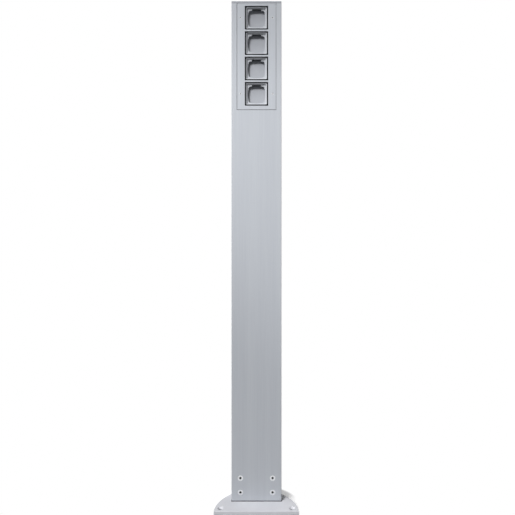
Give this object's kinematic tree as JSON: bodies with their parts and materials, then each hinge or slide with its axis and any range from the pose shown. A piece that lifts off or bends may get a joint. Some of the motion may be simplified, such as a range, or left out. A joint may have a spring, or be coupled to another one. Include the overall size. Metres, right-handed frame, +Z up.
{
  "type": "garden socket post",
  "caption": "Slim free-standing aluminium pillar with a half-round base plate and blanked device units behind an inset panel near its top.",
  "frame": {"origin": "on the ground, under the middle of the base plate's box", "axes": "+Z up the column, +Y to the back, so that the panel faces -Y, and +X to the right as seen from the front"},
  "size_m": [0.23, 0.115, 1.41],
  "materials": {
    "column_aluminium": "satin anodised",
    "cap_aluminium": "satin anodised",
    "plate_aluminium": "matt powder coated",
    "bracket_aluminium": "mill finish",
    "stainless_steel": "turned and passivated",
    "zinc_steel": "zinc plated",
    "brass_plated": "nickel flashed",
    "bezel_plastic": "aluminium coloured, fine moulded grain",
    "box_plastic": "moulded",
    "disc_plastic": "moulded",
    "terminal_plastic": "moulded",
    "earth_plastic": "moulded, green-yellow",
    "rubber": "matt"
  },
  "bodies": {
    "post": {"base_plate": "plate_aluminium", "cable_grommet": "rubber", "foot_bracket": "bracket_aluminium", "bracket_screws": "stainless_steel", "foot_gasket": "rubber", "column_profile": "column_aluminium", "foot_screws": "stainless_steel", "cap_gasket": "rubber", "top_cap": "cap_aluminium", "cap_screws": "stainless_steel", "panel_standoffs": "zinc_steel", "mounting_frame": "zinc_steel", "frame_screws": "stainless_steel", "box_screws": "stainless_steel", "terminal_rail": "zinc_steel", "rail_screws": "stainless_steel", "line_terminals": "terminal_plastic", "earth_terminal": "earth_plastic", "end_stops": "terminal_plastic", "terminal_screws": "brass_plated", "earth_bolt": "brass_plated", "earth_washers": "brass_plated", "earth_nuts": "brass_plated", "device_box_1": "box_plastic", "blanking_disc_1": "disc_plastic", "box_grommet_1": "rubber", "device_box_2": "box_plastic", "blanking_disc_2": "disc_plastic", "box_grommet_2": "rubber", "device_box_3": "box_plastic", "blanking_disc_3": "disc_plastic", "box_grommet_3": "rubber", "device_box_4": "box_plastic", "blanking_disc_4": "disc_plastic", "box_grommet_4": "rubber"},
    "service_panel": {"front_panel": "column_aluminium", "panel_screws": "stainless_steel", "bezel_screws": "stainless_steel", "window_seal_1": "rubber", "window_seal_2": "rubber", "window_seal_3": "rubber", "window_seal_4": "rubber", "bezel_1": "bezel_plastic", "bezel_2": "bezel_plastic", "bezel_3": "bezel_plastic", "bezel_4": "bezel_plastic"}
  },
  "joints": [
    {"name": "panel_lift_off", "type": "slide", "parent": "post", "child": "service_panel", "axis": [0, -1, 0], "range_m": [0, 0.12]}
  ]
}
